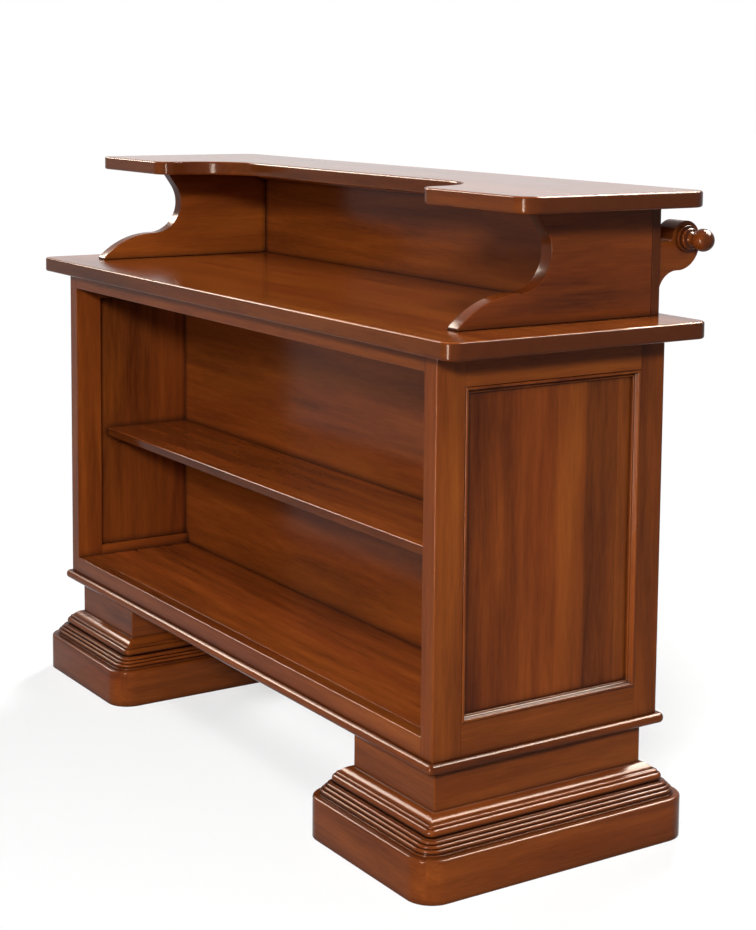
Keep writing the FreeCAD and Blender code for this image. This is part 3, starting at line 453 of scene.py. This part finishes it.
# Profiles of (beyond the neck, above the foot). REEDS has three reeds, and BEADS a large and a small bead.
BLOCK = [(64.2, 0), (65, 0.8)] + arc((60, 70), 5, 0, 90, 8) + [(30, 75)]
CORE = [(18, 0), (18, 41.8), (17.6, 42.9), (15.6, 45.0), (12.4, 47.5), (8.4, 50.0), (4.4, 51.9), (0.3, 53)]
REEDS = ([(20, 0), (53, 0)] + arc((52.4, 2.4), 0.6, 0, 90, 3) + [(49.6, 3.0)]
         + arc((47.5, 7.0), 3.7, -62, 108, 10) + arc((42.0, 12.3), 3.7, -40, 108, 10)
         + arc((36.5, 17.8), 3.7, -40, 90, 9) + [(33.4, 21.6), (32.8, 22.3), (20, 22.4)])
BEADS = ([(19, 0), (26.6, 0)] + arc((24.0, 6.8), 7.5, -64, 66, 16) + arc((21.0, 14.7), 4.0, -18, 112, 12)
         + [(18.4, 18.9)])


def swept(name, profile, side, lids=False):
    """One moulding round a plinth's neck."""
    node = "plinth_%s_%s" % (name, side)
    low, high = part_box("neck_" + side)
    middle, half = (low + high) / 2, (high - low) / 2
    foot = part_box(node)[0].z
    rings = []
    for quarter, (to_x, to_y) in enumerate(((1, 1), (-1, 1), (-1, -1), (1, -1))):
        for step in range(CORNER_STEPS + 1):
            angle = math.pi / 2 * (quarter + step / CORNER_STEPS)
            ring = []
            for beyond, height in profile:
                radius = max(beyond - CORNER_CENTRE, SHARP_CORNER) * MM
                straight = beyond * MM - radius
                x = middle.x + to_x * (half.x + straight) + radius * math.cos(angle)
                y = middle.y + to_y * (half.y + straight) + radius * math.sin(angle)
                ring.append((x, y, foot + height * MM))
            rings.append(ring)
    skinned("%s_%s" % (name, side), rings, node, lids)


for side in SIDES:
    swept("block", BLOCK, side, lids=True)
    swept("core", CORE, side, lids=True)
    swept("reeds", REEDS, side)
    swept("beads", BEADS, side)

# ---------------------------------------------------------------- turned knobs

# Profile of (out from the bracket, radius): a collar, a neck and a ball.
KNOB = ([(-0.4, 0.5), (-0.4, 22.4), (0, 23)] + arc((5.6, 21.6), 1.4, 90, 0, 4) + [(7.0, 18.2)]
        + arc((11.0, 15.0), 4.0, 130, 10, 8)
        + [(15.2, 13.2), (16.6, 11.6), (19.0, 10.3), (22.0, 9.8), (25.0, 10.0)]
        + arc((43.0, 0.0), 20.0, 150, 1.5, 26))
KNOB_STEPS = 64
KNOB_CRISP_TURN = 50


def knob(side):
    """A turning about the hand rail's axis, on the outside of a bracket."""
    low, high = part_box("hand_rail")
    axis = (low + high) / 2
    face = reach("rail_bracket_" + side)[1]
    rings = []
    for step in range(KNOB_STEPS):
        angle = 2 * math.pi * step / KNOB_STEPS
        rings.append([(SIDES[side] * (face + out * MM), axis.y + radius * MM * math.cos(angle),
                       axis.z + radius * MM * math.sin(angle)) for out, radius in KNOB])
    skinned("knob_" + side, rings, "rail_knobs", lids=True, crisp=KNOB_CRISP_TURN)


for side in SIDES:
    knob(side)

# ---------------------------------------------------------------- moulded strips round the panels

# Profile of (away from the frame, up from the panel): a quarter round, a hollow and a half round.
STRIP = ([(0, 0), (12, 0), (12, 3.6)] + arc((10.32, 5.28), 1.68, 0, 90, 3)
         + [(9.12, 6.24), (7.92, 7.2), (7.2, 8.64), (6.84, 10.32), (6.24, 11.04)]
         + arc((3.24, 11.12), 2.88, 0, 180, 12) + [(0, 12)])
STRIP_CRISP_TURN = 32


def strip(name, across, heights, put, node):
    """A mitred strip round a rectangular opening; put turns (across, height, out) into a place."""
    rings = []
    for at, up, turn_across, turn_up in ((across[0], heights[0], 1, 1), (across[1], heights[0], -1, 1),
                                         (across[1], heights[1], -1, -1), (across[0], heights[1], 1, -1)):
        rings.append([put(at + turn_across * away * MM, up + turn_up * away * MM, out * MM)
                      for away, out in STRIP])
    skinned(name, rings, node, crisp=STRIP_CRISP_TURN)


def end_strip(side):
    """The strip round an end panel. It stands on the panel, so its node begins there."""
    node = "panel_strip_" + side
    low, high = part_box(node)
    panel = reach(node)[0]
    strip("strip_" + side, (low.y, high.y), (low.z, high.z),
          lambda across, up, out: (SIDES[side] * (panel + out), across, up), node)


def wall_strips():
    """The strips round the three panels of the customer's side, from post to post."""
    low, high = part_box("frame_strips")
    posts = [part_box("frame_" + post) for post in ("stile_left", "muntin_left", "muntin_right", "stile_right")]
    for place, before, after in zip(("left", "middle", "right"), posts, posts[1:]):
        strip("wall_strip_" + place, (before[1].x, after[0].x), (low.z, high.z),
              lambda across, up, out: (across, low.y + out, up), "frame_strips")


for side in SIDES:
    end_strip(side)
wall_strips()

# ---------------------------------------------------------------- studio

# The floor throws back less light than its pale look says. It keeps the shadow near the counter and fades
# into white away from it.
FLOOR_SIZE = 60
FLOOR_DROP = 0.0005
FLOOR_BOUNCE = grey(0.25)
FLOOR_SHOWN = grey(0.95)
FLOOR_GLOW = 1.02
FADE_REACH = 3.0
FADE = ((0.33, grey(0.60)), (0.75, WHITE))

# The world is white where it shows and adds only a little light.
WORLD_LIGHT = 0.06


def seen(graph):
    """One for the rays that show the background: straight from the camera, and off or through the object."""
    path = graph.add("ShaderNodeLightPath")
    shown = graph.math("MAXIMUM", path.outputs["Is Camera Ray"], path.outputs["Is Glossy Ray"])
    return graph.math("MAXIMUM", shown, path.outputs["Is Transmission Ray"])


def floor_material():
    graph = Graph(bpy.data.materials.new("studio_floor"))
    shown = seen(graph)
    ground = graph.add("ShaderNodeBsdfDiffuse")
    graph.link(graph.mix(shown, FLOOR_BOUNCE, FLOOR_SHOWN), ground.inputs["Color"])
    glow = graph.add("ShaderNodeEmission")
    glow.inputs["Strength"].default_value = FLOOR_GLOW
    distance = graph.add("ShaderNodeVectorMath", operation="LENGTH")
    graph.link(graph.add("ShaderNodeTexCoord").outputs["Object"], distance.inputs[0])
    away = graph.ramp(graph.math("DIVIDE", distance.outputs["Value"], FADE_REACH), FADE)
    blended = graph.add("ShaderNodeMixShader")
    graph.link(graph.math("MULTIPLY", shown, away), blended.inputs[0])
    graph.link(ground.outputs[0], blended.inputs[1])
    graph.link(glow.outputs[0], blended.inputs[2])
    graph.show(blended)
    return graph.owner


bpy.ops.mesh.primitive_plane_add(size=FLOOR_SIZE, location=(0, 0, -FLOOR_DROP))
floor = bpy.context.object
floor.name = "studio_floor"
floor.data.materials.append(floor_material())

sky = Graph(bpy.data.worlds.new("studio"))
bpy.context.scene.world = sky.owner
background = sky.add("ShaderNodeBackground")
background.inputs["Color"].default_value = WHITE
strength = sky.math("ADD", sky.math("MULTIPLY", seen(sky), 1 - WORLD_LIGHT), WORLD_LIGHT)
sky.link(strength, background.inputs["Strength"])
sky.show(background, "ShaderNodeOutputWorld")

# ---------------------------------------------------------------- lamps

MIDDLE = (0, 0, 0.6)
CARD_COLOUR = (1.0, 0.88, 0.74)


def lamp(name, place, aim, size, radiance, card=False):
    """A soft lamp of a given brightness per area, which the camera doesn't see. A card only shows in the
    lacquer, and the others never do."""
    data = bpy.data.lights.new(name, "AREA")
    data.shape = "RECTANGLE"
    data.size, data.size_y = size
    data.energy = radiance * math.pi * size[0] * size[1]
    if card:
        data.color = CARD_COLOUR
    item = bpy.data.objects.new(name, data)
    item.location = place
    item.rotation_euler = (Vector(aim) - Vector(place)).to_track_quat("-Z", "Y").to_euler()
    item.visible_camera = False
    item.visible_diffuse = not card
    item.visible_glossy = card
    bpy.context.scene.collection.objects.link(item)


lamp("key", (5.25, -4.45, 3.2), MIDDLE, (1.9, 0.7), 120)
lamp("top", (2.4, -1.7, 4.3), MIDDLE, (1.5, 1.5), 15)
lamp("front", (1.2, -4.9, 1.6), MIDDLE, (1.2, 1.2), 13)
lamp("rear", (-3.6, 4.2, 2.6), MIDDLE, (1.5, 1.5), 60)
lamp("strip_card", (1.35, -1.9, 0.62), (0.7, 0, 0.62), (0.34, 1.2), 90, card=True)
lamp("left_card", (-4.1, -1.35, 3.3), MIDDLE, (1.9, 2.0), 50, card=True)
lamp("back_card", (0.9, 2.7, 4.3), MIDDLE, (4.0, 2.6), 110, card=True)

# ---------------------------------------------------------------- camera

# The camera was fitted to the straight edges of the photograph. Angles are in radians.
IMAGE_LONG_SIDE = 930
FOCAL_PIXELS = 1884.6
SENSOR = 36.0
SHIFT = -0.20
CAMERA_PLACE = (3.116400, -1.955838, 1.325618)
YAW, PITCH, ROLL = 0.991292, 0.107897, 0.009025

camera_data = bpy.data.cameras.new("camera")
camera_data.sensor_fit = "AUTO"
camera_data.sensor_width = SENSOR
camera_data.lens = FOCAL_PIXELS / IMAGE_LONG_SIDE * SENSOR
camera_data.shift_y = SHIFT
camera = bpy.data.objects.new("camera", camera_data)
camera.location = CAMERA_PLACE
camera.rotation_euler = (Matrix.Rotation(YAW, 3, "Z") @ Matrix.Rotation(math.pi / 2 - PITCH, 3, "X")
                         @ Matrix.Rotation(ROLL, 3, "Z")).to_euler()
bpy.context.scene.collection.objects.link(camera)
bpy.context.scene.camera = camera
bpy.context.scene.view_settings.view_transform = "Standard"
